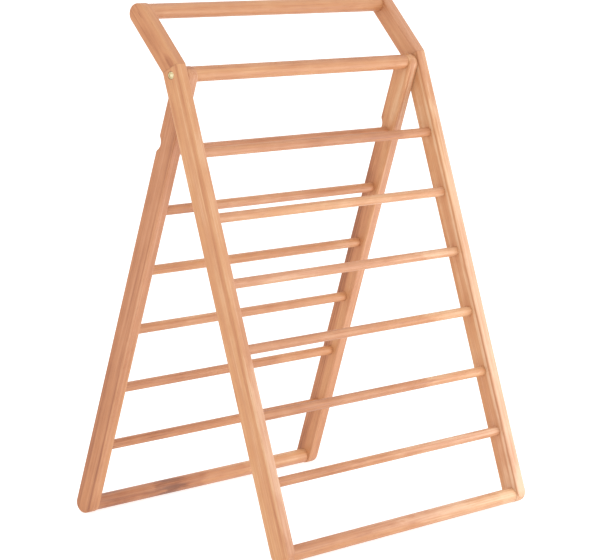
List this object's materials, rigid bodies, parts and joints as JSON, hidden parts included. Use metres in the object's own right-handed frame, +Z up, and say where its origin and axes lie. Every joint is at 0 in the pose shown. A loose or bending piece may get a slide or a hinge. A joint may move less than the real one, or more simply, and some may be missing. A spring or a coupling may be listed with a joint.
{
  "type": "clothes drying rack",
  "caption": "Folding wooden A-frame clothes drying rack: two ladder frames of round rungs between rounded stiles, bent upper arms with a top rail, and a brass-bolted hinge.",
  "frame": {"origin": "centre of the bounding box in plan, on the floor", "axes": "+X along the rungs to the right, +Y to the rear frame, +Z up"},
  "size_m": [0.72, 0.5346, 0.9531],
  "materials": {
    "stile_wood": "oiled",
    "rail_wood": "oiled",
    "rung_wood": "oiled",
    "dowel_wood": "bare",
    "brass": "satin"
  },
  "bodies": {
    "front_frame": {"front_stile_left": "stile_wood", "front_stile_right": "stile_wood", "front_arm_left": "stile_wood", "front_arm_right": "stile_wood", "mitre_dowel_left_front": "dowel_wood", "mitre_dowel_left_rear": "dowel_wood", "mitre_dowel_right_front": "dowel_wood", "mitre_dowel_right_rear": "dowel_wood", "front_top_rail": "rail_wood", "front_bottom_rail": "rail_wood", "front_rung_1": "rung_wood", "front_rung_2": "rung_wood", "front_rung_3": "rung_wood", "front_rung_4": "rung_wood", "front_rung_5": "rung_wood", "front_rung_6": "rung_wood"},
    "rear_frame": {"rear_stile_left": "stile_wood", "rear_stile_right": "stile_wood", "rear_pivot_rail": "rail_wood", "rear_bottom_rail": "rail_wood", "rear_rung_1": "rung_wood", "rear_rung_2": "rung_wood", "rear_rung_3": "rung_wood", "rear_rung_4": "rung_wood", "rear_rung_5": "rung_wood", "rear_rung_6": "rung_wood", "pivot_bolt_left": "brass", "pivot_bolt_right": "brass", "pivot_washer_left": "brass", "pivot_washer_right": "brass", "pivot_insert_left": "brass", "pivot_insert_right": "brass"}
  },
  "joints": [
    {"name": "rear_frame_hinge", "type": "hinge", "parent": "front_frame", "child": "rear_frame", "pos_m": [0, 0.03064, 0.83144], "axis": [1, 0, 0], "range_deg": [-22.3, 113.6]}
  ]
}
